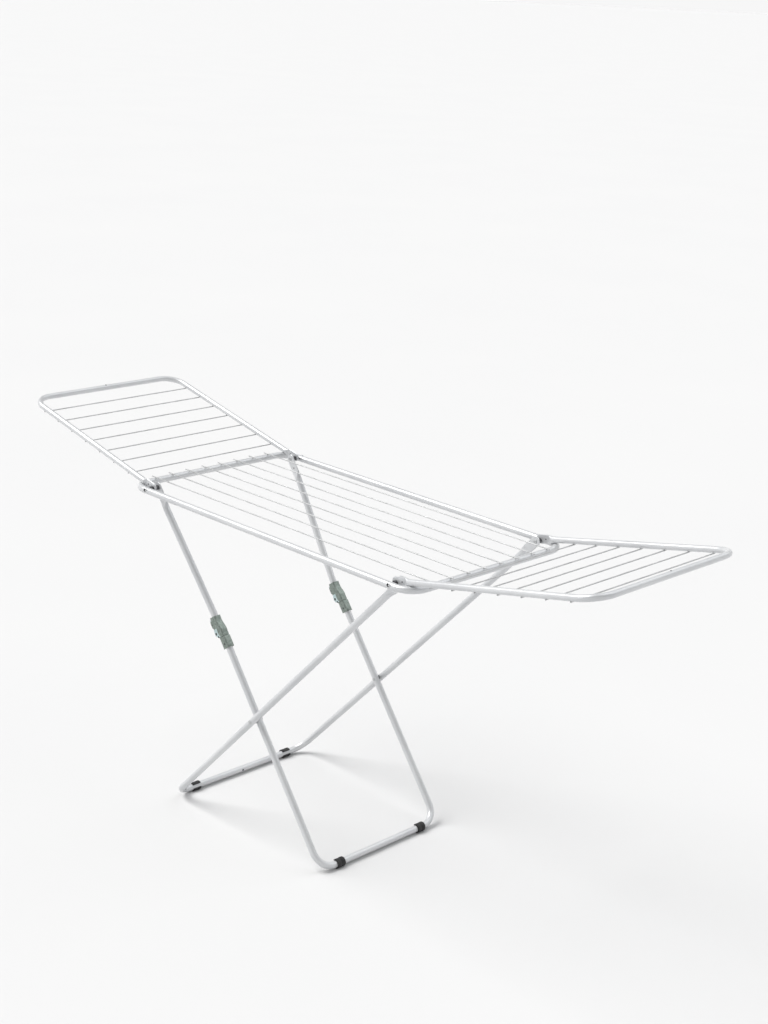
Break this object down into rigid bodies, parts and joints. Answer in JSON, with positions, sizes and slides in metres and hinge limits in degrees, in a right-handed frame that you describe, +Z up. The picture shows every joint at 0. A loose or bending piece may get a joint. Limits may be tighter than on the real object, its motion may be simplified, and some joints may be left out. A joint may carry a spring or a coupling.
{
  "type": "clothes drying rack",
  "caption": "Folding clothes drying rack: a wire bed with a hinged wire wing at each end, on crossing tubular legs with knee brackets and rubber feet.",
  "frame": {"origin": "on the floor under the middle of the rack: the centre of its box, at floor height", "axes": "+X along the bed towards the wing above the inner leg's foot, +Y across the rack, +Z up"},
  "size_m": [2.062, 0.5532, 1.0102],
  "materials": {
    "frame_paint": "light silver-grey semi-gloss coating on steel tube",
    "wire_paint": "light grey semi-gloss coating on steel wire",
    "zinc_bracket": "satin, faintly green zinc plate on pressed steel",
    "rivet_steel": "dull plated rivets",
    "rubber_foot": "matt black",
    "spacer_plastic": "dark nylon washers"
  },
  "bodies": {
    "bed": {"bed_frame": "frame_paint", "bed_wire_1": "wire_paint", "bed_wire_2": "wire_paint", "bed_wire_3": "wire_paint", "bed_wire_4": "wire_paint", "bed_wire_5": "wire_paint", "bed_wire_6": "wire_paint", "bed_wire_7": "wire_paint", "bed_wire_8": "wire_paint", "corner_pin_left_near": "rivet_steel", "corner_pin_left_far": "rivet_steel", "corner_pin_right_near": "rivet_steel", "corner_pin_right_far": "rivet_steel", "corner_spacers": "spacer_plastic"},
    "wing_left": {"wing_left_frame": "frame_paint", "wing_left_wire_1": "wire_paint", "wing_left_wire_2": "wire_paint", "wing_left_wire_3": "wire_paint", "wing_left_wire_4": "wire_paint", "wing_left_wire_5": "wire_paint", "wing_left_wire_6": "wire_paint", "wing_left_wire_7": "wire_paint"},
    "wing_right": {"wing_right_frame": "frame_paint", "wing_right_wire_1": "wire_paint", "wing_right_wire_2": "wire_paint", "wing_right_wire_3": "wire_paint", "wing_right_wire_4": "wire_paint", "wing_right_wire_5": "wire_paint", "wing_right_wire_6": "wire_paint", "wing_right_wire_7": "wire_paint"},
    "outer_leg": {"outer_leg_frame": "frame_paint", "crossing_rivet_near": "rivet_steel", "crossing_rivet_far": "rivet_steel", "foot_outer_near": "rubber_foot", "foot_outer_far": "rubber_foot"},
    "upper_legs": {"upper_leg_near": "frame_paint", "upper_leg_far": "frame_paint", "knee_clamp_near": "zinc_bracket", "knee_clamp_far": "zinc_bracket", "knee_pin_near": "rivet_steel", "knee_pin_far": "rivet_steel", "clamp_rivet_near": "rivet_steel", "clamp_rivet_far": "rivet_steel", "lever_pin_near": "rivet_steel", "lever_pin_far": "rivet_steel"},
    "inner_leg": {"inner_leg_frame": "frame_paint", "knee_fork_near": "zinc_bracket", "knee_fork_far": "zinc_bracket", "fork_rivet_near": "rivet_steel", "fork_rivet_far": "rivet_steel", "crossing_stud_near": "rivet_steel", "crossing_stud_far": "rivet_steel", "foot_inner_near": "rubber_foot", "foot_inner_far": "rubber_foot"},
    "lock_lever_near": {"lock_lever_near": "zinc_bracket"},
    "lock_lever_far": {"lock_lever_far": "zinc_bracket"}
  },
  "joints": [
    {"name": "wing_left_fold", "type": "hinge", "parent": "bed", "child": "wing_left", "pos_m": [-0.457, 0, 0.8755], "axis": [0, 1, 0], "range_deg": [0, 165.6]},
    {"name": "wing_right_fold", "type": "hinge", "parent": "bed", "child": "wing_right", "pos_m": [0.457, 0, 0.8755], "axis": [0, -1, 0], "range_deg": [0, 161]},
    {"name": "leg_fold", "type": "hinge", "parent": "bed", "child": "outer_leg", "pos_m": [0.457, 0, 0.8755], "axis": [0, 1, 0], "range_deg": [0, 40]},
    {"name": "upper_leg_fold", "type": "hinge", "parent": "bed", "child": "upper_legs", "pos_m": [-0.457, 0, 0.8755], "axis": [0, 1, 0], "range_deg": [-53.6, 0]},
    {"name": "knee_fold", "type": "hinge", "parent": "upper_legs", "child": "inner_leg", "pos_m": [-0.2216, 0, 0.52936], "axis": [0, 1, 0], "range_deg": [0, 170.7]},
    {"name": "lever_near_press", "type": "hinge", "parent": "upper_legs", "child": "lock_lever_near", "pos_m": [-0.24019, -0.2105, 0.54805], "axis": [0, 1, 0], "range_deg": [0, 5], "stiffness_Nm_per_rad": 0.1, "springref_deg": -8.59},
    {"name": "lever_far_press", "type": "hinge", "parent": "upper_legs", "child": "lock_lever_far", "pos_m": [-0.24019, 0.2105, 0.54805], "axis": [0, 1, 0], "range_deg": [0, 5], "stiffness_Nm_per_rad": 0.1, "springref_deg": -8.59}
  ],
  "couplings": [
    {"joint": "upper_leg_fold", "follows": "leg_fold", "ratio": -1.3379},
    {"joint": "knee_fold", "follows": "leg_fold", "ratio": 4.2644}
  ]
}
